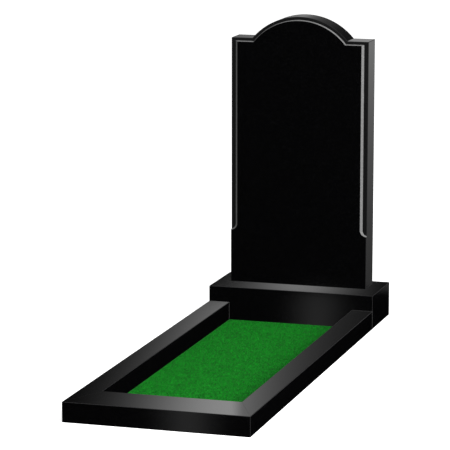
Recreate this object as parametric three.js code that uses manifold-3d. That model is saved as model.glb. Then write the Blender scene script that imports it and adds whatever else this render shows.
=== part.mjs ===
// A polished black granite grave set: an upright headstone with a segmental arched head and a
// raised, bevelled inscription panel, the plinth that it stands on, three mitred kerb bars that
// frame the grave bed in front of it, and the mat of short turf that lies inside the kerb.
//
// Millimetres, +Z up. The set faces -Y and is centred on X and Y, with the ground at Z = 0.

import * as THREE from "three";
import { mergeVertices } from "three/addons/utils/BufferGeometryUtils.js";
import Module from "manifold-3d";

const manifold = await Module();
manifold.setup();

// Plinth
const PLINTH_WIDTH = 600;
const PLINTH_DEPTH = 250;
const PLINTH_HEIGHT = 120;

// Headstone slab
const STONE_WIDTH = 500;
const STONE_THICKNESS = 100;
const SHOULDER_HEIGHT = 880;
const ARCH_SPAN = 346;
const ARCH_RISE = 80;
const STONE_SETBACK = 100; // from the plinth's front face to the stone's front face

// Rebate round the headstone's front, which leaves the inscription panel standing proud
const REBATE_DEPTH = 8;
const REBATE_SIDE_WIDTH = 16;
const REBATE_TOP_WIDTH = 11;
const BEVEL_SIDE_WIDTH = 7.5; // of the panel's sloping edge, at its sides
const BEVEL_TOP_WIDTH = 4; // and at its top and round its turned ends
const REBATE_FOOT = 210; // height above the plinth at which the rebate starts to turn outwards
const REBATE_END_RADIUS = 20; // of the turned ends, at the foot of the bevel

// Kerb, as wide as the plinth
const KERB_LENGTH = 1500;
const KERB_HEIGHT = 65;
const SIDE_BAR_WIDTH = 75;
const FRONT_BAR_DEPTH = 160;

// Turf mat
const TURF_THICKNESS = 5;
const TURF_CLEARANCE = 1;

// Small edges and joints
const ARRIS = 2; // flat cut along every exposed stone edge
const STONE_JOINT = 1; // between kerb bars, and between them and the plinth
const SEAT_GAP = 0.3; // under the headstone

const ARCH_STEPS = 48;
const REBATE_END_STEPS = 10;

// Where things lie along Y
const overallLength = KERB_LENGTH + STONE_JOINT + PLINTH_DEPTH;
const kerbFront = -overallLength / 2;
const kerbBack = kerbFront + KERB_LENGTH;
const plinthFront = kerbBack + STONE_JOINT;
const plinthMiddle = plinthFront + PLINTH_DEPTH / 2;
const stoneBack = plinthFront + STONE_SETBACK + STONE_THICKNESS;

const granite = { color: 0x0b0b0c, roughness: 0.12, metalness: 0 };
const grass = { color: 0x17651d, roughness: 0.95, metalness: 0 };

// Moves every side of a counter-clockwise outline inwards by the same distance.
function insetOutline(outline, distance) {
  const sides = outline.map(([x, y], i) => {
    const [nextX, nextY] = outline[(i + 1) % outline.length];
    const length = Math.hypot(nextX - x, nextY - y);
    const direction = [(nextX - x) / length, (nextY - y) / length];
    const point = [x - direction[1] * distance, y + direction[0] * distance];
    return { point, direction };
  });
  return sides.map((side, i) => {
    const before = sides[(i + sides.length - 1) % sides.length];
    const [ax, ay] = before.direction;
    const [bx, by] = side.direction;
    const turn = ax * by - ay * bx;
    if (Math.abs(turn) < 1e-9) return side.point;
    const dx = side.point[0] - before.point[0];
    const dy = side.point[1] - before.point[1];
    const along = (dx * by - dy * bx) / turn;
    return [before.point[0] + ax * along, before.point[1] + ay * along];
  });
}

// Cuts each outward corner of a counter-clockwise outline of square corners by the given size.
function cutCorners(outline, size) {
  return outline.flatMap(([x, y], i) => {
    const [fromX, fromY] = outline[(i + outline.length - 1) % outline.length];
    const [toX, toY] = outline[(i + 1) % outline.length];
    const turn = (x - fromX) * (toY - y) - (y - fromY) * (toX - x);
    if (turn < 0) return [[x, y]];
    const back = Math.hypot(fromX - x, fromY - y);
    const on = Math.hypot(toX - x, toY - y);
    return [
      [x + ((fromX - x) / back) * size, y + ((fromY - y) / back) * size],
      [x + ((toX - x) / on) * size, y + ((toY - y) / on) * size],
    ];
  });
}

// A closed solid through layers of outlines with equally many points, stacked along Z.
function loft(layers) {
  const count = layers[0].outline.length;
  const positions = layers.flatMap(({ outline, z }) => outline.flatMap(([x, y]) => [x, y, z]));
  const faces = [];
  for (let layer = 0; layer < layers.length - 1; layer += 1) {
    for (let i = 0; i < count; i += 1) {
      const next = (i + 1) % count;
      const low = layer * count;
      const high = low + count;
      faces.push(low + i, low + next, high + next, low + i, high + next, high + i);
    }
  }
  const cap = ({ outline }) => {
    const contour = outline.map(([x, y]) => new THREE.Vector2(x, y));
    return THREE.ShapeUtils.triangulateShape(contour, []);
  };
  const top = (layers.length - 1) * count;
  for (const [a, b, c] of cap(layers[0])) faces.push(c, b, a);
  for (const [a, b, c] of cap(layers[layers.length - 1])) faces.push(top + a, top + b, top + c);
  const geometry = new THREE.BufferGeometry();
  geometry.setAttribute("position", new THREE.Float32BufferAttribute(positions, 3));
  geometry.setIndex(faces);
  return geometry;
}

// A stone block with its outline cut back by the arris at the top and at the bottom.
function blockWithArris(outline, low, high) {
  const narrow = insetOutline(outline, ARRIS);
  return loft([
    { outline: narrow, z: low },
    { outline, z: low + ARRIS },
    { outline, z: high - ARRIS },
    { outline: narrow, z: high },
  ]);
}

function toSolid(geometry) {
  const merged = mergeVertices(geometry);
  return new manifold.Manifold(
    new manifold.Mesh({
      numProp: 3,
      vertProperties: new Float32Array(merged.attributes.position.array),
      triVerts: new Uint32Array(merged.index.array),
    }),
  );
}

function toGeometry(solid) {
  const { vertProperties, triVerts } = solid.getMesh();
  const geometry = new THREE.BufferGeometry();
  geometry.setAttribute("position", new THREE.BufferAttribute(vertProperties, 3));
  geometry.setIndex(new THREE.BufferAttribute(triVerts, 1));
  const faceted = geometry.toNonIndexed();
  faceted.computeVertexNormals();
  return faceted;
}

function piece(name, geometry, look) {
  const mesh = new THREE.Mesh(geometry, new THREE.MeshStandardMaterial(look));
  mesh.name = name;
  return mesh;
}

const archRadius = ((ARCH_SPAN / 2) ** 2 + ARCH_RISE ** 2) / (2 * ARCH_RISE);
const archCentre = SHOULDER_HEIGHT + ARCH_RISE - archRadius;

// The shoulders and arched head, from the right-hand corner to the left-hand one. The head is
// drawn in from the slab's own edges by side and top.
function headOutline(side, top) {
  const halfWidth = STONE_WIDTH / 2 - side;
  const shoulder = SHOULDER_HEIGHT - top;
  const radius = archRadius - top;
  const springing = Math.asin((shoulder - archCentre) / radius);
  const arch = Array.from({ length: ARCH_STEPS + 1 }, (_, i) => {
    const angle = springing + ((Math.PI - 2 * springing) * i) / ARCH_STEPS;
    return [radius * Math.cos(angle), archCentre + radius * Math.sin(angle)];
  });
  return [[halfWidth, shoulder], ...arch, [-halfWidth, shoulder]];
}

// The slab's whole outline, seen from the front, with X to the right and Y up.
function slabOutline() {
  const halfWidth = STONE_WIDTH / 2;
  return [[-halfWidth, 0], [halfWidth, 0], ...headOutline(0, 0)];
}

// The raised panel and the full-width foot under it, at a share of the way up the bevel. The
// foot's edge is drawn in by the arris where edge says so.
function panelOutline(share, edge) {
  const across = BEVEL_SIDE_WIDTH * share;
  const up = BEVEL_TOP_WIDTH * share;
  const halfFoot = STONE_WIDTH / 2 - edge;
  const centre = STONE_WIDTH / 2 - REBATE_SIDE_WIDTH + REBATE_END_RADIUS;
  const onTurn = (angle) => [
    centre + (REBATE_END_RADIUS + across) * Math.cos(angle),
    REBATE_FOOT + (REBATE_END_RADIUS + up) * Math.sin(angle),
  ];
  const reach = Math.min(0, (halfFoot - centre) / (REBATE_END_RADIUS + across));
  const lastAngle = 2 * Math.PI - Math.acos(reach);
  const rightTurn = Array.from({ length: REBATE_END_STEPS }, (_, i) =>
    onTurn(lastAngle + ((Math.PI - lastAngle) * (i + 1)) / REBATE_END_STEPS),
  );
  const right = [[halfFoot, edge], [halfFoot, onTurn(lastAngle)[1]], ...rightTurn];
  const left = right.map(([x, y]) => [-x, y]).reverse();
  return [...right, ...headOutline(REBATE_SIDE_WIDTH + across, REBATE_TOP_WIDTH + up), ...left];
}

// Seen from the front the slab is drawn in its X and Y, with its back at Z = 0, and then stood up.
function headstone() {
  const rebateLevel = STONE_THICKNESS - REBATE_DEPTH;
  const slab = blockWithArris(slabOutline(), 0, rebateLevel);
  const shareAtArris = 1 - ARRIS / REBATE_DEPTH;
  const panel = loft([
    { outline: panelOutline(0, 0), z: rebateLevel / 2 },
    { outline: panelOutline(0, 0), z: rebateLevel },
    { outline: panelOutline(shareAtArris, 0), z: STONE_THICKNESS - ARRIS },
    { outline: panelOutline(1, ARRIS), z: STONE_THICKNESS },
  ]);
  const geometry = toGeometry(toSolid(slab).add(toSolid(panel)));
  const mesh = piece("headstone", geometry, granite);
  mesh.rotation.x = Math.PI / 2;
  mesh.position.set(0, stoneBack, PLINTH_HEIGHT + SEAT_GAP);
  return mesh;
}

function rectangle(width, front, back) {
  const half = width / 2;
  return [[-half, front], [half, front], [half, back], [-half, back]];
}

function plinth() {
  const outline = cutCorners(rectangle(PLINTH_WIDTH, -PLINTH_DEPTH / 2, PLINTH_DEPTH / 2), ARRIS);
  const geometry = toGeometry(toSolid(blockWithArris(outline, 0, PLINTH_HEIGHT)));
  const mesh = piece("plinth", geometry, granite);
  mesh.position.y = plinthMiddle;
  return mesh;
}

// The kerb is drawn as one U-shaped frame that is open towards the plinth, and sawn through at
// its two front corners, along the line from the outer corner to the inner one.
function kerb() {
  const outer = PLINTH_WIDTH / 2;
  const inner = outer - SIDE_BAR_WIDTH;
  const bedFront = kerbFront + FRONT_BAR_DEPTH;
  const right = [[outer, kerbFront], [outer, kerbBack], [inner, kerbBack], [inner, bedFront]];
  const left = right.map(([x, y]) => [-x, y]).reverse();
  const frame = toSolid(blockWithArris(cutCorners([...right, ...left], ARRIS), 0, KERB_HEIGHT));

  const mitre = Math.hypot(SIDE_BAR_WIDTH, FRONT_BAR_DEPTH);
  const towardsFront = (side) => [
    (-side * FRONT_BAR_DEPTH) / mitre,
    -SIDE_BAR_WIDTH / mitre,
    0,
  ];
  // The mitre's distance from the origin, the same at both corners
  const mitreOffset = (-outer * FRONT_BAR_DEPTH - kerbFront * SIDE_BAR_WIDTH) / mitre;
  const frontBar = [-1, 1].reduce(
    (bar, side) => bar.trimByPlane(towardsFront(side), mitreOffset + STONE_JOINT / 2),
    frame,
  );
  const sideBar = (side) => {
    const backwards = towardsFront(side).map((value) => -value);
    return frame.trimByPlane([side, 0, 0], 0).trimByPlane(backwards, -mitreOffset + STONE_JOINT / 2);
  };
  return [
    piece("kerb_left", toGeometry(sideBar(-1)), granite),
    piece("kerb_right", toGeometry(sideBar(1)), granite),
    piece("kerb_front", toGeometry(frontBar), granite),
  ];
}

function turf() {
  const width = PLINTH_WIDTH - 2 * (SIDE_BAR_WIDTH + TURF_CLEARANCE);
  const front = kerbFront + FRONT_BAR_DEPTH + TURF_CLEARANCE;
  const back = plinthFront - TURF_CLEARANCE;
  const geometry = new THREE.BoxGeometry(width, back - front, TURF_THICKNESS);
  const mesh = piece("turf", geometry, grass);
  mesh.position.set(0, (front + back) / 2, TURF_THICKNESS / 2);
  return mesh;
}

const graveSet = new THREE.Group();
graveSet.add(headstone(), plinth(), ...kerb(), turf());

export default graveSet;
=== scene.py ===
"""A polished black granite headstone on its plinth, with a mitred kerb round a bed of turf.

Every stone is modelled to the sizes of its solid in the frame, with rounded arrises. The turf is
grown blade by blade. The set then stands on a pale floor under soft studio light.
"""

import contextlib
import math

import bmesh
import bpy
import numpy as np
from bpy.props import FloatProperty, FloatVectorProperty, IntProperty, PointerProperty
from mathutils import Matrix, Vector


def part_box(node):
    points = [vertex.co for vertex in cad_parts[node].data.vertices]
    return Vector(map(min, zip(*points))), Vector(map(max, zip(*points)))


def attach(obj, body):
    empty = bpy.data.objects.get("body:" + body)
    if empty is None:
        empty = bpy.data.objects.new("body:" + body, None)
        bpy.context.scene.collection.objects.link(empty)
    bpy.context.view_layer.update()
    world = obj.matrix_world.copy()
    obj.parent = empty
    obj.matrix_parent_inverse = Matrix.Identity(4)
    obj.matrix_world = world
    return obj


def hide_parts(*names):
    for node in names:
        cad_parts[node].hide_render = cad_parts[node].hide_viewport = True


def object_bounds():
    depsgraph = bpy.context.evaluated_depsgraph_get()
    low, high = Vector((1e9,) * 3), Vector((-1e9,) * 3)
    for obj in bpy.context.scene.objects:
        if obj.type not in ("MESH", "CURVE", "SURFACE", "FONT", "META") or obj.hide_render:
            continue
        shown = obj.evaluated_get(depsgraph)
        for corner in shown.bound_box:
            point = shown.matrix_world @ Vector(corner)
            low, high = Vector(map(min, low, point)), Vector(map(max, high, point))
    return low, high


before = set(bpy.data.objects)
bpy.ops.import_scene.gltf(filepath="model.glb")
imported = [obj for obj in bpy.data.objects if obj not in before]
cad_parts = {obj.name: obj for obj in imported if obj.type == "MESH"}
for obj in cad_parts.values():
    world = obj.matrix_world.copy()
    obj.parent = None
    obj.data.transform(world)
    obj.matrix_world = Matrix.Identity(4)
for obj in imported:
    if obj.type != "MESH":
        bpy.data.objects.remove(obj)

bl_info = {
    "name": "Grave set",
    "version": (1, 0, 0),
    "blender": (4, 5, 0),
    "location": "3D View > Sidebar > Grave set",
    "description": "Builds a black granite headstone, plinth, kerb and turf, and a studio for them",
    "category": "Add Mesh",
}

BODY = "root"
CLOSE = 1e-5  # metres within which two places count as the same
FACING = 0.9  # cosine past which a face counts as facing along an axis
FLAT = math.radians(0.2)  # faces that meet at less than this are made one
SMOOTH = math.radians(15)  # faces that meet at less than this are shaded as one
MAT_CELLS = (12, 36)  # of the turf's backing, across and along

# The frame's boxes, each a lowest and a highest corner
CAD_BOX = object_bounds()
STONE_LOW, STONE_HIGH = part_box("headstone")
PLINTH_LOW, PLINTH_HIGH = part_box("plinth")
LEFT_LOW, LEFT_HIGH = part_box("kerb_left")
RIGHT_LOW, RIGHT_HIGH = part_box("kerb_right")
FRONT_LOW, FRONT_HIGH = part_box("kerb_front")
TURF_LOW, TURF_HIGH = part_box("turf")

# The finishes of the stones and their joints, in the order of the stones' material slots. The joints'
# pale mortar also paints the highlight line where the side bars meet the plinth.
POLISHED, ARRIS, SAWN, SATIN, MORTAR_AND_HIGHLIGHT = range(5)


def length(name, description, default, **more):
    return FloatProperty(name=name, description=description, default=default, subtype="DISTANCE",
                         unit="LENGTH", min=0.0, precision=4, **more)


def colour(name, description, default):
    return FloatVectorProperty(name=name, description=description, default=default,
                               subtype="COLOR", size=3, min=0.0, max=1.0)


def spot(name, description, default):
    return FloatVectorProperty(name=name, description=description, default=default,
                               subtype="XYZ", unit="LENGTH", size=3)


def number(name, description, default, **more):
    return FloatProperty(name=name, description=description, default=default, **more)


def angle(name, description, degrees):
    return FloatProperty(name=name, description=description, default=math.radians(degrees),
                         subtype="ANGLE", unit="ROTATION")


class StoneSettings(bpy.types.PropertyGroup):
    """Sizes and finishes of the stones. The overall sizes come from the frame."""

    arris: length("Arris", "Width of the rounding along each exposed edge", 0.0015)
    arris_steps: IntProperty(name="Arris steps", description="Faces across each arris",
                             default=2, min=1, max=6)
    mitre_gap: length("Mitre gap", "Gap at each mitre of the kerb", 0.0004)
    recess: length("Recess", "How far the mortar lies under flush", 0.0001)
    shoulder_height: length("Shoulder height", "From the headstone's foot to its shoulders", 0.88)
    arch_span: length("Arch span", "Width of the arched head where it leaves the shoulders", 0.346)
    arch_steps: IntProperty(name="Arch steps", description="Sides of the circle behind the arch",
                            default=256, min=64, max=1024)
    rebate_depth: length("Rebate depth", "How far the inscription panel stands proud", 0.008)
    rebate_side: length("Rebate side width", "Sunk border beside the panel", 0.016)
    rebate_top: length("Rebate top width", "Sunk border above the panel", 0.011)
    bevel_side: length("Bevel side width", "Width of the panel's sloping edge at its sides", 0.0075)
    bevel_top: length("Bevel top width", "The same at its top and round its turned ends", 0.0025)
    rebate_foot: length("Rebate foot", "Height at which the rebate starts to turn out", 0.21)
    turn_radius: length("Turn radius", "Radius of the rebate's turned ends at its floor", 0.02)
    turn_steps: IntProperty(name="Turn steps", description="Faces along each turned end",
                            default=12, min=3, max=48)

    crystal: length("Crystal size", "Typical width of the stone's crystals", 0.0016)
    body_colour: colour("Stone colour", "Polished stone between its flecks", (0.0007, 0.0007, 0.0008))
    fleck_colour: colour("Fleck colour", "The paler crystals in the polish", (0.006, 0.006, 0.0065))
    arris_colour: colour("Arris colour", "The duller polish along the edges", (0.008, 0.008, 0.0085))
    sawn_colour: colour("Sawn colour", "Unpolished cuts, such as the bevel", (0.17, 0.17, 0.17))
    satin_colour: colour("Satin colour", "The rebate's floor and the mitres",
                         (0.004, 0.004, 0.0042))
    # Real mortar, made pale so that it also paints the highlight line along the joints of kerb and
    # plinth
    mortar_and_highlight_colour: colour("Mortar colour", "The mortar between kerb and plinth",
                          (0.08, 0.08, 0.078))


class TurfSettings(bpy.types.PropertyGroup):
    """Sizes and colours of the turf."""

    spacing: length("Spacing", "Distance from one blade to the next", 0.0035)
    blade_width: length("Blade width", "Width of a blade at its foot", 0.0024)
    blade_flatness: number("Blade flatness", "Thickness of a blade as a share of its width",
                           0.35, min=0.0, max=1.0)
    blade_length: length("Blade length", "Length of the longest blades", 0.0035)
    shortest: number("Shortest", "Length of the shortest blades as a share of the longest",
                     0.7, min=0.0, max=1.0)
    backing: length("Backing", "Thickness of the mat under the blades", 0.0015)
    root: number("Root", "Height of a blade's foot as a share of the backing's", 0.9,
                 min=0.0, max=1.0)
    tuck: length("Tuck", "How far the mat reaches into the gap along the kerb", 0.0009)
    lean: angle("Lean", "How far a blade leans at most", 38.0)
    seed: IntProperty(name="Seed", description="Start of the blades' random places", default=7)
    streak: length("Streak", "Width of the light and dark streaks", 0.005)
    streak_length: number("Streak length", "How much longer than wide a streak is", 3.0, min=1.0)
    patch: length("Patch", "Width of the paler and darker patches", 0.0389)
    # The dark colour at the blades' foot is painted shade, where the blades shade each other
    dark_colour: colour("Dark colour", "Blades at their foot", (0.0015, 0.045, 0.004))
    light_colour: colour("Light colour", "Blades at their tip", (0.011, 0.34, 0.02))


class StageSettings(bpy.types.PropertyGroup):
    """The camera, the light and the floor."""

    azimuth: angle("Azimuth", "How far the camera stands to the right of the middle", 17.1)
    elevation: angle("Elevation", "How far the camera looks down", 10.76)
    target: spot("Target", "The point in the middle of the view", (-0.1329, 0.2737, 0.4134))
    distance: length("Distance", "From the camera to the target", 9.1)
    lens: number("Lens", "Focal length in millimetres", 213.72, min=10.0)
    floor_size: length("Floor size", "Width of the floor", 160.0)
    floor_colour: colour("Floor colour", "The pale floor", (0.93, 0.93, 0.93))
    floor_glow: number("Floor glow", "The floor's own light, which keeps it pale", 0.8, min=0.0)
    backdrop: number("Backdrop", "Brightness of the backdrop behind the floor", 1.45, min=0.0)
    soft_light: number("Soft light", "Strength of the light from all around", 0.5, min=0.0)
    panel_light: number("Panel light", "Strength of the light that the polish mirrors", 1.27,
                        min=0.0)
    key_light: number("Key light", "Power of the softbox in watts", 600.0, min=0.0)
    key_size: length("Key size", "Width of the softbox", 4.0)
    key_place: spot("Key place", "Where the softbox hangs", (3.85, -2.55, 3.2))
    key_aim: spot("Key aim", "The point that the softbox faces", (0.0, 0.2, 0.4))


class Wire:
    """A node's output. An expression on wires adds the Math nodes that work it out."""

    def __init__(self, tree, output=None):
        self.tree = tree
        self.output = output

    def add(self, kind, settings=None, inputs=None, output=0):
        """Adds a node: its settings first, then the values or wires of its sockets."""
        node = self.tree.nodes.new(kind)
        for name, value in (settings or {}).items():
            setattr(node, name, value)
        for name, value in (inputs or {}).items():
            if isinstance(value, Wire):
                self.tree.links.new(value.output, node.inputs[name])
            else:
                node.inputs[name].default_value = value
        return Wire(self.tree, node.outputs[output] if node.outputs else None)

    def math(self, operation, *values):
        settings = {"operation": operation}
        return self.add("ShaderNodeMath", settings, dict(enumerate(values)))

    def __add__(self, other):
        return self.math("ADD", self, other)

    def __sub__(self, other):
        return self.math("SUBTRACT", self, other)

    def __mul__(self, other):
        return self.math("MULTIPLY", self, other)

    def __truediv__(self, other):
        return self.math("DIVIDE", self, other)

    def __rsub__(self, other):
        return self.math("SUBTRACT", other, self)

    __radd__ = __add__
    __rmul__ = __mul__

    def clamped(self):
        return self.math("MINIMUM", self.math("MAXIMUM", self, 0.0), 1.0)

    def unsigned(self):
        return self.math("ABSOLUTE", self)

    def above(self, start):
        """How far the value lies above the start, and 0 below it."""
        return self.math("MAXIMUM", self - start, 0.0)

    def below(self, end):
        """How far the value lies below the end, and 0 above it."""
        return self.math("MAXIMUM", end - self, 0.0)

    def ramp(self, start, end):
        """0 up to the start, 1 from the end on and even in between."""
        return ((self - start) / (end - start)).clamped()

    def faded(self, other, share):
        """This value where the share is 0, and the other one where it is 1."""
        return self * (1.0 - share) + other * share

    def decay(self, rate=1.0):
        """1 where the value is 0, falling off steadily as it grows."""
        return self.math("EXPONENT", self * -rate)

    def bump(self, at, width, height=1.0):
        """The height at one value, falling softly to nothing a few widths to each side."""
        share = (self - at) / width
        return (share * share * 0.5).decay() * height

    def mixed(self, first, second):
        """The first colour where the value is 0 and the second where it is 1."""
        settings = {"data_type": "RGBA"}
        return self.add("ShaderNodeMix", settings, {0: self, 6: first, 7: second}, 2)

    def part(self, name):
        return self.add("ShaderNodeSeparateXYZ", None, {0: self}, name)


def rgba(shade):
    return (*shade, 1.0)


def toned(shade, share):
    """A darker or paler colour of the same hue."""
    return [min(1.0, part * share) for part in shade]


def new_material(name):
    """A material with only its output, and a wire to add its nodes with."""
    material = bpy.data.materials.new(name)
    material.use_nodes = True
    material.node_tree.nodes.clear()
    return material, Wire(material.node_tree)


def grained(name, body, fleck, roughness, relief):
    """Granite or mortar, whose pale colour also paints a highlight line: fine crystals, a few of them
    paler, under the given finish.
    """
    crystal = bpy.context.scene.grave_stone.crystal
    material, wire = new_material(name)
    place = wire.add("ShaderNodeTexCoord", output="Object")
    cells = {"Vector": place, "Scale": 1 / crystal}
    cell = wire.add("ShaderNodeTexVoronoi", None, cells, "Color")
    grain = {"Vector": place, "Scale": 0.35 / crystal, "Detail": 4.0, "Roughness": 0.65}
    cloud = wire.add("ShaderNodeTexNoise", None, grain)
    pale = ((cell.part("X") - 0.86) * 7.0).clamped() * 0.85  # one crystal in seven
    dusting = cell.part("Y") * cloud * 0.3
    mask = (pale + dusting).clamped()
    tone = mask.mixed(rgba(body), rgba(fleck))
    gloss = roughness + (cell.part("Z") - 0.5) * roughness * 0.35
    height = {"Height": cloud + mask * 0.5, "Strength": relief, "Distance": crystal * 0.1}
    normal = wire.add("ShaderNodeBump", None, height)
    surface = wire.add("ShaderNodeBsdfPrincipled", None, {
        "Base Color": tone, "Roughness": gloss, "Normal": normal, "IOR": 1.5})
    wire.add("ShaderNodeOutputMaterial", None, {"Surface": surface})
    return material


def stone_finishes():
    """The finishes of the stones and of their joints, in the order of the slots."""
    stone = bpy.context.scene.grave_stone
    return [
        grained("polished_granite", stone.body_colour, stone.fleck_colour,
                roughness=0.035, relief=0.02),
        grained("arris_granite", stone.arris_colour, stone.arris_colour,
                roughness=0.3, relief=0.1),
        grained("sawn_granite", toned(stone.sawn_colour, 0.8), toned(stone.sawn_colour, 1.5),
                roughness=0.6, relief=0.5),
        grained("satin_granite", stone.satin_colour, stone.fleck_colour,
                roughness=0.32, relief=0.15),
        # Pale mortar: real joint filler that also paints the highlight line along the joints of kerb
        # and plinth
        grained("mortar_and_highlight", stone.mortar_and_highlight_colour, toned(stone.mortar_and_highlight_colour, 1.2),
                roughness=0.9, relief=0.3),
    ]


def grass():
    """Green blades, darker at the foot as painted shade where the blades shade each other, mottled
    from blade to blade and patch to patch.
    """
    turf = bpy.context.scene.grave_turf
    material, wire = new_material("turf_blades")
    place = wire.add("ShaderNodeTexCoord", output="Object")
    height = (place.part("Z") - turf.backing) / (TURF_HIGH.z - turf.backing)
    stretch = (1, 1 / turf.streak_length, 1)
    rows = wire.add("ShaderNodeMapping", None, {"Vector": place, "Scale": stretch})
    streaks = {"Vector": rows, "Scale": 1 / turf.streak, "Detail": 2.0}
    patches = {"Vector": place, "Scale": 1 / turf.patch, "Detail": 3.0}
    streak = wire.add("ShaderNodeTexNoise", None, streaks) - 0.5
    patch = wire.add("ShaderNodeTexNoise", None, patches) - 0.5
    # Darker towards the foot: painted shade between the blades. The streaks and patches are the
    # turf's own uneven colour.
    shade = (height * 0.35 + streak + patch * 0.25 + 0.33).clamped()
    tone = shade.mixed(rgba(turf.dark_colour), rgba(turf.light_colour))
    ripple = {"Height": streak, "Strength": 0.3, "Distance": turf.blade_width * 0.3}
    normal = wire.add("ShaderNodeBump", None, ripple)
    surface = wire.add("ShaderNodeBsdfPrincipled", None, {
        "Base Color": tone, "Roughness": 0.6 + streak * 0.2, "Normal": normal,
        "Specular IOR Level": 0.1})
    wire.add("ShaderNodeOutputMaterial", None, {"Surface": surface})
    return material


def plain_floor(shade, glow):
    """A matt pale floor with the faintest cloudiness, lit from within like a light table."""
    material, wire = new_material("pale_floor")
    place = wire.add("ShaderNodeTexCoord", output="Object")
    cloud = wire.add("ShaderNodeTexNoise", None, {"Vector": place, "Scale": 1.5})
    tone = cloud.mixed(rgba(shade), rgba(toned(shade, 0.98)))
    surface = wire.add("ShaderNodeBsdfPrincipled", None, {
        "Base Color": tone, "Roughness": 0.9, "Specular IOR Level": 0.0,
        "Emission Color": tone, "Emission Strength": glow})
    wire.add("ShaderNodeOutputMaterial", None, {"Surface": surface})
    return material


@contextlib.contextmanager
def editing(piece):
    """Edit mode on one piece."""
    bpy.ops.object.select_all(action="DESELECT")
    piece.select_set(True)
    bpy.context.view_layer.objects.active = piece
    bpy.ops.object.mode_set(mode="EDIT")
    yield
    bpy.ops.object.mode_set(mode="OBJECT")


def pick(kind, test=lambda element: True):
    """In edit mode, selects the vertices, edges or faces that pass the test, and no others."""
    bpy.ops.mesh.select_mode(type=kind)
    bpy.ops.mesh.select_all(action="DESELECT")
    mesh = bpy.context.object.data
    shape = bmesh.from_edit_mesh(mesh)
    for element in {"VERT": shape.verts, "EDGE": shape.edges, "FACE": shape.faces}[kind]:
        if test(element):
            element.select_set(True)
    shape.select_flush_mode()
    bmesh.update_edit_mesh(mesh)


def finish_picked(slot):
    """Gives the selected faces one of the piece's finishes."""
    bpy.context.object.active_material_index = slot
    bpy.ops.object.material_slot_assign()


def recalculate_normals():
    pick("FACE")
    bpy.ops.mesh.normals_make_consistent(inside=False)


def primitive(add, name, scale=(1, 1, 1), **how):
    """Adds a primitive with nothing else selected, and puts its place into its mesh."""
    bpy.ops.object.select_all(action="DESELECT")
    add(**how)
    piece = bpy.context.object
    piece.name = name
    piece.scale = scale
    bpy.ops.object.transform_apply(location=True, rotation=True, scale=True)
    return piece


def block(name, low, high):
    """A box between two corners."""
    return primitive(bpy.ops.mesh.primitive_cube_add, name, size=1, location=(low + high) / 2,
                     scale=high - low)


def dress_stone(piece, finishes):
    for finish in finishes:
        piece.data.materials.append(finish)


def round_arrises(test):
    """In edit mode, rounds the edges that pass the test, and gives them the arris's finish."""
    stone = bpy.context.scene.grave_stone
    pick("EDGE", test)
    bpy.ops.mesh.bevel(offset=stone.arris, segments=stone.arris_steps, profile=0.5,
                       affect="EDGES", clamp_overlap=False, material=ARRIS)


def combine(piece, other, operation):
    """Joins or cuts a piece with another one, which is used up."""
    bpy.ops.object.select_all(action="DESELECT")
    piece.select_set(True)
    bpy.context.view_layer.objects.active = piece
    bpy.ops.object.modifier_add(type="BOOLEAN")
    modifier = piece.modifiers[-1]
    modifier.operation = operation
    modifier.solver = "EXACT"
    modifier.object = other
    bpy.ops.object.modifier_apply(modifier=modifier.name)
    bpy.data.objects.remove(other)


def copied(piece, name):
    """A copy of a piece with a mesh of its own."""
    bpy.ops.object.select_all(action="DESELECT")
    piece.select_set(True)
    bpy.context.view_layer.objects.active = piece
    bpy.ops.object.duplicate(linked=False)
    bpy.context.object.name = name
    return bpy.context.object


def join(pieces):
    """Makes one piece of several. The last one keeps its name."""
    bpy.ops.object.select_all(action="DESELECT")
    for piece in pieces:
        piece.select_set(True)
    bpy.context.view_layer.objects.active = pieces[-1]
    bpy.ops.object.join()


def cut_off(piece, point, keep, finish):
    """Cuts a piece along a plane, keeps the side that the plane's normal points to, and closes it."""
    with editing(piece):
        pick("FACE")
        bpy.ops.mesh.bisect(plane_co=point, plane_no=keep, use_fill=True, clear_inner=True)
        finish_picked(finish)


def place_piece(piece, node):
    """Settles a finished piece: its shading, its body and the solid it stands for.

    The polish mirrors only the studio, and not the other pieces.
    """
    bpy.ops.object.select_all(action="DESELECT")
    piece.select_set(True)
    bpy.context.view_layer.objects.active = piece
    bpy.ops.object.shade_smooth_by_angle(angle=SMOOTH)
    piece.visible_glossy = False
    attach(piece, BODY)
    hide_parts(node)


def near(value, other):
    return abs(value - other) < CLOSE


def faces_down(face):
    return face.normal.z < -FACING


def faces_front_at(depth):
    """A test for the faces that look to the front at one depth."""
    return lambda face: near(face.calc_center_median().y, depth) and face.normal.y < -FACING


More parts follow.
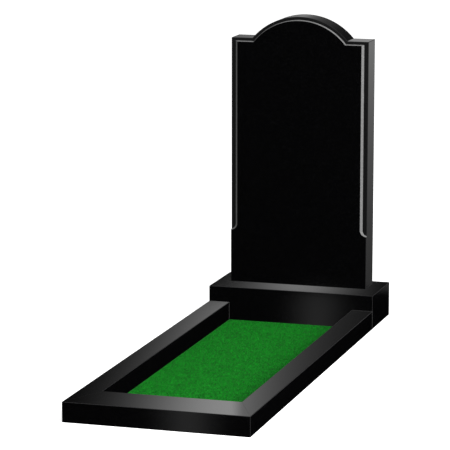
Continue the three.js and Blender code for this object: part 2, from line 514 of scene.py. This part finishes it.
class HeadProfile:
    """The shoulders and arch, drawn in from the slab's own edges by side and top."""

    def __init__(self, side, top):
        stone = bpy.context.scene.grave_stone
        rise = STONE_HIGH.z - STONE_LOW.z - stone.shoulder_height
        radius = ((stone.arch_span / 2) ** 2 + rise**2) / (2 * rise)
        self.half_width = (STONE_HIGH.x - STONE_LOW.x) / 2 - side
        self.shoulder = STONE_LOW.z + stone.shoulder_height - top
        self.radius = radius - top
        self.centre = STONE_HIGH.z - radius

    def draw(self, name, depth):
        """Draws the head as a chain of edges at one depth, from shoulder to shoulder."""
        steps = bpy.context.scene.grave_stone.arch_steps
        piece = primitive(bpy.ops.mesh.primitive_circle_add, name, vertices=steps,
                          radius=self.radius, fill_type="NGON",
                          location=(0, depth, self.centre), rotation=(math.pi / 2, 0, 0))
        with editing(piece):
            pick("FACE")
            bpy.ops.mesh.bisect(plane_co=(0, 0, self.shoulder), plane_no=(0, 0, 1),
                                clear_inner=True)
            pick("FACE")
            bpy.ops.mesh.delete(type="ONLY_FACE")
            pick("EDGE", lambda edge: all(near(point.co.z, self.shoulder) for point in edge.verts))
            bpy.ops.mesh.delete(type="EDGE")
            for side in (-1, 1):
                pick_end(side, self.shoulder)
                shape = bmesh.from_edit_mesh(piece.data)
                foot = max(point.co.x * side for point in shape.verts if point.select)
                draw_on(side * (self.half_width - foot), 0)
        return piece


def draw_on(across, up):
    """In edit mode, draws an edge on from the selected vertex."""
    bpy.ops.mesh.extrude_vertices_move(TRANSFORM_OT_translate={"value": (across, 0, up)})


def pick_end(side, height):
    """In edit mode, selects the outermost vertex at one height on one side."""
    shape = bmesh.from_edit_mesh(bpy.context.object.data)
    level = [point.co.x * side for point in shape.verts if near(point.co.z, height)]
    outermost = max(level)
    pick("VERT", lambda point: near(point.co.z, height) and near(point.co.x * side, outermost))


def fill_and_thicken(thickness):
    """In edit mode, closes the drawn outline, fills it and extrudes it backwards."""
    shape = bmesh.from_edit_mesh(bpy.context.object.data)
    ends = {point.index for point in shape.verts if len(point.link_edges) == 1}
    pick("VERT", lambda point: point.index in ends)
    bpy.ops.mesh.edge_face_add()
    pick("VERT")
    bpy.ops.mesh.edge_face_add()
    pick("FACE")
    bpy.ops.mesh.extrude_region_move(TRANSFORM_OT_translate={"value": (0, thickness, 0)})
    recalculate_normals()


def arched_slab(name, front, finishes):
    """The slab's whole outline, from one depth to its back, with every arris rounded."""
    head = HeadProfile(0, 0)
    piece = head.draw(name, front)
    dress_stone(piece, finishes)
    with editing(piece):
        for side in (-1, 1):
            pick_end(side, head.shoulder)
            draw_on(0, STONE_LOW.z - head.shoulder)
        fill_and_thicken(STONE_HIGH.y - front)

        def exposed(edge):
            start, end = (point.co for point in edge.verts)
            flat = near(start.y, end.y)
            outer = near(abs(start.x), head.half_width) and near(start.x, end.x)
            return flat or outer and near(start.z, end.z)

        round_arrises(exposed)
    return piece


def draw_panel_sides(head, level, turn):
    """In edit mode, draws the panel's sides down to where they turn outwards, and its foot."""
    stone = bpy.context.scene.grave_stone
    spare = 4 * stone.bevel_side  # past the slab's edges, where it is cut off
    for side in (-1, 1):
        pick_end(side, head.shoulder)
        draw_on(0, turn - head.shoulder)
        centre = (side * (head.half_width + stone.turn_radius), level, turn)
        bpy.ops.mesh.spin(steps=stone.turn_steps, angle=math.pi / 2, center=centre,
                          axis=(0, side, 0))
        pick_end(side, turn - stone.turn_radius)
        draw_on(side * spare, 0)
        draw_on(0, STONE_LOW.z - spare - turn + stone.turn_radius)


def raise_panel_front(head, level, turn):
    """In edit mode, raises the panel's front from the rebate's floor, with a sawn bevel round it.

    The bevel gets the width of its top all round, and then more at the sides.
    """
    stone = bpy.context.scene.grave_stone
    pick("FACE", faces_front_at(level))
    bpy.ops.mesh.inset(thickness=stone.bevel_top, depth=stone.rebate_depth)
    front = STONE_LOW.y
    side_edge = head.half_width - stone.bevel_top - CLOSE
    widen = (stone.turn_radius + stone.bevel_side) / (stone.turn_radius + stone.bevel_top)
    for side in (-1, 1):
        pick("VERT", lambda point: near(point.co.y, front) and point.co.x * side > side_edge)
        centre = (side * (head.half_width + stone.turn_radius), front, turn)
        bpy.ops.transform.resize(value=(widen, 1, 1), center_override=centre)
    pick("FACE", lambda face: 1 - FACING < -face.normal.y < FACING)
    finish_picked(SAWN)


def raised_panel(name, finishes):
    """The raised panel and its foot, which is as wide as the slab and shares its rounded edges."""
    stone = bpy.context.scene.grave_stone
    head = HeadProfile(stone.rebate_side, stone.rebate_top)
    level = STONE_LOW.y + stone.rebate_depth
    turn = STONE_LOW.z + stone.rebate_foot
    piece = head.draw(name, level)
    dress_stone(piece, finishes)
    with editing(piece):
        draw_panel_sides(head, level, turn)
        fill_and_thicken((STONE_HIGH.y - STONE_LOW.y) / 2)
        raise_panel_front(head, level, turn)
    for corner, keep in ((STONE_LOW, (1, 0, 0)), (STONE_HIGH, (-1, 0, 0)), (STONE_LOW, (0, 0, 1))):
        cut_off(piece, corner, keep, POLISHED)

    def exposed(edge):
        start, end = (point.co for point in edge.verts)
        on_front = near(start.y, STONE_LOW.y) and near(end.y, STONE_LOW.y)
        on_side = near(abs(start.x), STONE_HIGH.x) and near(start.x, end.x)
        on_foot = near(start.z, STONE_LOW.z) and near(end.z, STONE_LOW.z)
        return on_front + on_side + on_foot == 2

    with editing(piece):
        round_arrises(exposed)
    return piece


class GRAVE_OT_headstone(bpy.types.Operator):
    """Models the headstone: an arched slab with a raised, bevelled panel"""

    bl_idname = "grave.headstone"
    bl_label = "Headstone"

    def execute(self, context):
        finishes = stone_finishes()
        level = STONE_LOW.y + context.scene.grave_stone.rebate_depth
        stone = arched_slab("headstone_slab", level, finishes)
        combine(stone, raised_panel("panel", finishes), "UNION")
        with editing(stone):
            pick("VERT")
            bpy.ops.mesh.remove_doubles(threshold=CLOSE)
            pick("FACE")
            bpy.ops.mesh.dissolve_limited(angle_limit=FLAT, delimit={"MATERIAL"})
            pick("FACE", faces_front_at(level))
            finish_picked(SATIN)
        place_piece(stone, "headstone")
        return {"FINISHED"}


class GRAVE_OT_plinth(bpy.types.Operator):
    """Models the plinth: one block with rounded arrises"""

    bl_idname = "grave.plinth"
    bl_label = "Plinth"

    def execute(self, context):
        plinth = block("plinth_block", PLINTH_LOW, PLINTH_HIGH)
        dress_stone(plinth, stone_finishes())
        with editing(plinth):
            pick("FACE", faces_down)
            finish_picked(SAWN)
            round_arrises(lambda edge: True)
        place_piece(plinth, "plinth")
        return {"FINISHED"}


def kerb_frame():
    """The whole kerb in one piece, open towards the plinth, before it's sawn at the mitres."""
    low = Vector((LEFT_LOW.x, FRONT_LOW.y, FRONT_LOW.z))
    high = Vector((RIGHT_HIGH.x, LEFT_HIGH.y, FRONT_HIGH.z))
    inner = RIGHT_LOW.x
    bed_front = FRONT_HIGH.y
    sheet = primitive(bpy.ops.mesh.primitive_plane_add, "kerb_frame", size=1,
                      location=((low.x + high.x) / 2, (low.y + high.y) / 2, low.z),
                      scale=(high.x - low.x, high.y - low.y, 1))
    dress_stone(sheet, stone_finishes())
    cuts = [((-inner, 0, 0), (1, 0, 0)), ((inner, 0, 0), (1, 0, 0)), ((0, bed_front, 0), (0, 1, 0))]
    with editing(sheet):
        for point, across in cuts:
            pick("FACE")
            bpy.ops.mesh.bisect(plane_co=point, plane_no=across)
        pick("FACE", lambda face: abs(face.calc_center_median().x) < inner
             and face.calc_center_median().y > bed_front)
        bpy.ops.mesh.delete(type="FACE")
        pick("FACE")
        bpy.ops.mesh.dissolve_limited(angle_limit=FLAT)
        pick("FACE")
        height = high.z - low.z
        bpy.ops.mesh.extrude_region_move(TRANSFORM_OT_translate={"value": (0, 0, height)})
        recalculate_normals()
        pick("FACE", faces_down)
        finish_picked(SAWN)

        def exposed(edge):
            start, end = (point.co for point in edge.verts)
            upright = not near(start.z, end.z)
            hollow = near(abs(start.x), inner) and near(start.y, bed_front)
            return not (upright and hollow)

        round_arrises(exposed)
        end = high.y - bpy.context.scene.grave_stone.arris
        pick("FACE", lambda face: face.calc_center_median().y > end)
        finish_picked(SAWN)
    return sheet


def point_joint(bar, low, high):
    """Fills the joint between a side bar's end and the plinth with mortar, round the arris too. The
    mortar is real, but its pale colour also paints the highlight line along the joint.
    """
    stone = bpy.context.scene.grave_stone
    under = Vector((stone.recess, 0, stone.recess))
    bead = block("mortar_and_highlight", Vector((low.x, high.y - stone.arris, low.z)) + under,
                 Vector((high.x, PLINTH_LOW.y, high.z)) - under)
    dress_stone(bead, list(bar.data.materials))
    with editing(bead):
        pick("FACE")
        # The whole bead is pale mortar, which paints the joint's highlight line
        finish_picked(MORTAR_AND_HIGHLIGHT)
    combine(bead, copied(bar, "bar_shape"), "DIFFERENCE")
    join([bead, bar])


class GRAVE_OT_kerb(bpy.types.Operator):
    """Models the kerb as one frame and saws it into three mitred bars, two of them bedded"""

    bl_idname = "grave.kerb"
    bl_label = "Kerb"

    def execute(self, context):
        gap = context.scene.grave_stone.mitre_gap / 2
        whole = kerb_frame()
        side_width = RIGHT_HIGH.x - RIGHT_LOW.x
        front_depth = FRONT_HIGH.y - FRONT_LOW.y
        mitres = {}
        for side in (-1, 1):
            corner = Vector((side * RIGHT_HIGH.x, FRONT_LOW.y, 0))
            mitres[side] = corner, Vector((side * front_depth, side_width, 0)).normalized()
        sides = ((-1, "kerb_left", LEFT_LOW, LEFT_HIGH), (1, "kerb_right", RIGHT_LOW, RIGHT_HIGH))
        for side, node, low, high in sides:
            bar = copied(whole, f"{node}_bar")
            corner, outwards = mitres[side]
            cut_off(bar, (0, 0, 0), (side, 0, 0), SAWN)
            cut_off(bar, corner + outwards * gap, outwards, SATIN)
            point_joint(bar, low, high)
            place_piece(bar, node)
        bar = copied(whole, "kerb_front_bar")
        for corner, outwards in mitres.values():
            cut_off(bar, corner - outwards * gap, -outwards, SATIN)
        place_piece(bar, "kerb_front")
        bpy.data.objects.remove(whole)
        return {"FINISHED"}


def one_blade():
    """One flat, tapering blade at the origin: its corners and its faces."""
    turf = bpy.context.scene.grave_turf
    blade = primitive(bpy.ops.mesh.primitive_cone_add, "blade", vertices=3,
                      radius1=turf.blade_width / math.sqrt(3), radius2=0, depth=1,
                      location=(0, 0, 0.5), scale=(1, turf.blade_flatness, 1))
    corners = np.array([point.co for point in blade.data.vertices])
    faces = np.array([[corner for corner in face.vertices] for face in blade.data.polygons])
    bpy.data.objects.remove(blade)
    return corners, faces


def scattered_blades():
    """Every blade of the turf in one mesh, each with its own place, turn, lean and length."""
    turf = bpy.context.scene.grave_turf
    corners, faces = one_blade()
    reach = turf.blade_length * math.sin(turf.lean) + turf.blade_width
    area = np.array(TURF_HIGH.xy) - np.array(TURF_LOW.xy)
    counts = np.floor((area - 2 * reach) / turf.spacing).astype(int)
    steps = np.stack(np.meshgrid(*(np.arange(count) for count in counts)), axis=-1)
    steps = steps.reshape(-1, 2)
    count = len(steps)
    chance = np.random.default_rng(turf.seed)
    jitter = chance.uniform(-0.5, 0.5, (count, 2))
    margin = (area - (counts - 1) * turf.spacing) / 2
    foot = np.array(TURF_LOW.xy) + margin + (steps + jitter) * turf.spacing
    turn = chance.uniform(0, 2 * math.pi, count)
    lean = turf.lean * np.sqrt(chance.uniform(0, 1, count))
    heading = chance.uniform(0, 2 * math.pi, count)
    tall = turf.blade_length * chance.uniform(turf.shortest, 1, count)

    x, y, z = (corners[None, :, axis] for axis in range(3))
    turned_x = x * np.cos(turn)[:, None] - y * np.sin(turn)[:, None]
    turned_y = x * np.sin(turn)[:, None] + y * np.cos(turn)[:, None]
    along = z * tall[:, None]
    out = along * np.sin(lean)[:, None]
    points = np.stack([
        foot[:, 0, None] + turned_x + out * np.cos(heading)[:, None],
        foot[:, 1, None] + turned_y + out * np.sin(heading)[:, None],
        TURF_LOW.z + turf.backing * turf.root + along * np.cos(lean)[:, None],
    ], axis=-1).reshape(-1, 3)
    triangles = (faces[None] + len(corners) * np.arange(count)[:, None, None]).reshape(-1, 3)
    mesh = bpy.data.meshes.new("blades")
    mesh.from_pydata(points.tolist(), [], triangles.tolist())
    piece = bpy.data.objects.new("blades", mesh)
    bpy.context.scene.collection.objects.link(piece)
    return piece


def turf_backing():
    """The thin mat under the blades, which reaches into the gap along the kerb."""
    turf = bpy.context.scene.grave_turf
    middle = (TURF_LOW + TURF_HIGH) / 2
    width, depth = (TURF_HIGH - TURF_LOW).xy
    across, along = MAT_CELLS
    mat = primitive(bpy.ops.mesh.primitive_grid_add, "turf_mat", size=1, x_subdivisions=across,
                    y_subdivisions=along, location=(middle.x, middle.y, TURF_LOW.z),
                    scale=(width + 2 * turf.tuck, depth + 2 * turf.tuck, 1))
    with editing(mat):
        pick("FACE")
        bpy.ops.mesh.extrude_region_move(TRANSFORM_OT_translate={"value": (0, 0, turf.backing)})
        recalculate_normals()
    return mat


class GRAVE_OT_turf(bpy.types.Operator):
    """Grows the turf: a thin backing and the blades that stand on it"""

    bl_idname = "grave.turf"
    bl_label = "Turf"

    def execute(self, context):
        mat = turf_backing()
        blades = scattered_blades()
        mat.data.materials.append(grass())
        blades.data.materials.append(mat.data.materials[0])
        join([blades, mat])
        place_piece(mat, "turf")
        return {"FINISHED"}


def not_ahead(heading):
    """0 where the photo's camera looks, and 1 to its sides and behind it."""
    return heading.unsigned().ramp(30.0, 45.0)


def room_above(heading, level):
    """The room above the horizon, which the tops of the stones mirror.

    The heading is in degrees from +Y towards +X, and the level in degrees above the horizon.
    """
    # For the kerb's top: the left sheen for its front and left bars, the right one for the other
    drop = level.below(14.6)
    left = (heading - drop * 0.4).bump(at=-16.9, width=1.25, height=0.93) * drop.decay(0.18)
    right = heading.above(-16.6).decay(1.05) * 0.42
    kerb = left.faded(right, heading.ramp(-16.95, -16.7))
    # For the top of the plinth
    plinth = heading.bump(at=-15.45, width=0.7, height=0.5)
    # For the shoulders and the arch, which mirrors places further right the more it slopes
    head = heading.ramp(-17.0, -14.06) * 0.25 + 0.22
    arch = head * (level.above(6.9) * 0.2 + heading.above(-3.0) / 7.0).decay()
    turned = heading.above(-13.4)
    tops = plinth.faded(kerb, level.ramp(12.2, 12.4))
    tops = arch.faded(tops, (level - turned * 0.9).ramp(10.9, 11.567))
    # For the views from other sides and from further up
    ceiling = level.ramp(22.0, 52.0) * 0.35
    aside = heading.unsigned()
    strips = aside.bump(at=130.0, width=5.0, height=0.25) + aside.bump(at=88.0, width=4.0, height=0.2)
    return tops + ceiling + not_ahead(heading) * (strips + 0.07)


def room_below(heading, level):
    """The room below the horizon, which the upright faces of the stones mirror.

    The heading is in degrees from +Y towards +X, and the level in degrees above the horizon.
    """
    # For the headstone's side, brighter towards its top
    glow = level.below(-6.9).decay(0.36) * 0.7
    side = glow * heading.bump(at=20.0, width=9.0) * level.ramp(-12.25, -12.0)
    # For the fronts of the plinth and kerb, one upright sheen each
    plinth = heading.bump(at=-164.93, width=0.33, height=0.43)
    kerb = heading.bump(at=-162.07, width=0.35, height=0.43)
    sheen = kerb.faded(plinth, level.ramp(-14.2, -13.7))
    fronts = sheen.faded(side, level.ramp(-12.3, -12.133))
    # For the views from other sides
    walls = not_ahead(heading) * (1.0 - heading.unsigned().ramp(135.0, 150.0))
    behind = heading.bump(at=-8.0, width=5.0, height=0.4)
    # For the upright rounded edges between the fronts and the right sides
    window = heading.bump(at=114.0, width=12.0, height=3.0) * level.bump(at=-10.0, width=5.0)
    return fronts + walls * (heading * 0.0011 + 0.22) + behind + window


def soft_world():
    """Even pale light, with soft panels of light that show only as reflections in the polish."""
    world = bpy.data.worlds.new("studio")
    bpy.context.scene.world = world
    world.use_nodes = True
    world.node_tree.nodes.clear()
    world.cycles.sampling_method = "NONE"
    wire = Wire(world.node_tree)
    towards = wire.add("ShaderNodeTexCoord", output="Generated")
    degree = math.degrees(1)
    level = towards.math("ARCSINE", towards.part("Z")) * degree
    heading = towards.math("ARCTAN2", towards.part("X"), towards.part("Y")) * degree
    stage = bpy.context.scene.grave_stage
    mirrored = room_below(heading, level).faded(room_above(heading, level), level.ramp(-3.0, -1.0))

    glossy = wire.add("ShaderNodeLightPath", output="Is Glossy Ray")
    seen = wire.add("ShaderNodeLightPath", output="Is Camera Ray")
    mirror_light = glossy * mirrored * stage.panel_light
    bright = mirror_light + seen * stage.backdrop + (1.0 - glossy - seen) * stage.soft_light
    light = wire.add("ShaderNodeBackground", None, {"Strength": bright})
    wire.add("ShaderNodeOutputWorld", None, {"Surface": light})


def softbox(name, power, size, place, aim):
    """A square area light that looks at a point, and that neither camera nor polish sees."""
    bpy.ops.object.select_all(action="DESELECT")
    turn = (Vector(aim) - Vector(place)).to_track_quat("-Z", "Y").to_euler()
    bpy.ops.object.light_add(type="AREA", location=place, rotation=turn)
    lamp = bpy.context.object
    lamp.name = name
    lamp.data.energy = power
    lamp.data.size = size
    lamp.visible_camera = False
    lamp.visible_glossy = False


class GRAVE_OT_stage(bpy.types.Operator):
    """Lays the floor, lights it and stands the camera"""

    bl_idname = "grave.stage"
    bl_label = "Stage"

    def execute(self, context):
        stage = context.scene.grave_stage
        floor = primitive(bpy.ops.mesh.primitive_plane_add, "floor", size=stage.floor_size,
                          location=(0, 0, CAD_BOX[0].z))
        floor.data.materials.append(plain_floor(stage.floor_colour, stage.floor_glow))
        floor.visible_glossy = False
        floor.visible_diffuse = False
        soft_world()
        softbox("key", stage.key_light, stage.key_size, stage.key_place, stage.key_aim)

        back = Vector((math.sin(stage.azimuth) * math.cos(stage.elevation),
                       -math.cos(stage.azimuth) * math.cos(stage.elevation),
                       math.sin(stage.elevation)))
        bpy.ops.object.select_all(action="DESELECT")
        bpy.ops.object.camera_add(location=Vector(stage.target) + back * stage.distance,
                                  rotation=(-back).to_track_quat("-Z", "Y").to_euler())
        camera = context.object
        camera.data.lens = stage.lens
        context.scene.camera = camera
        context.scene.view_settings.view_transform = "Standard"
        return {"FINISHED"}


class GRAVE_PT_set(bpy.types.Panel):
    """Lists the pieces and their settings"""

    bl_idname = "GRAVE_PT_set"
    bl_label = "Grave set"
    bl_space_type = "VIEW_3D"
    bl_region_type = "UI"
    bl_category = "Grave set"

    def draw(self, context):
        for operator in OPERATORS:
            self.layout.operator(operator.bl_idname)
        for name in SETTINGS:
            group = getattr(context.scene, name)
            box = self.layout.box()
            for field in group.bl_rna.properties.keys()[2:]:  # the first two are Blender's own
                box.prop(group, field)


OPERATORS = (GRAVE_OT_headstone, GRAVE_OT_plinth, GRAVE_OT_kerb, GRAVE_OT_turf, GRAVE_OT_stage)
SETTINGS = {"grave_stone": StoneSettings, "grave_turf": TurfSettings, "grave_stage": StageSettings}


def register():
    for kind in (*SETTINGS.values(), *OPERATORS, GRAVE_PT_set):
        bpy.utils.register_class(kind)
    for name, kind in SETTINGS.items():
        setattr(bpy.types.Scene, name, PointerProperty(type=kind))


def unregister():
    for name in SETTINGS:
        delattr(bpy.types.Scene, name)
    for kind in (GRAVE_PT_set, *OPERATORS, *SETTINGS.values()):
        bpy.utils.unregister_class(kind)


def main():
    register()
    bpy.ops.grave.headstone()
    bpy.ops.grave.plinth()
    bpy.ops.grave.kerb()
    bpy.ops.grave.turf()
    bpy.ops.grave.stage()


if __name__ == "__main__":
    main()
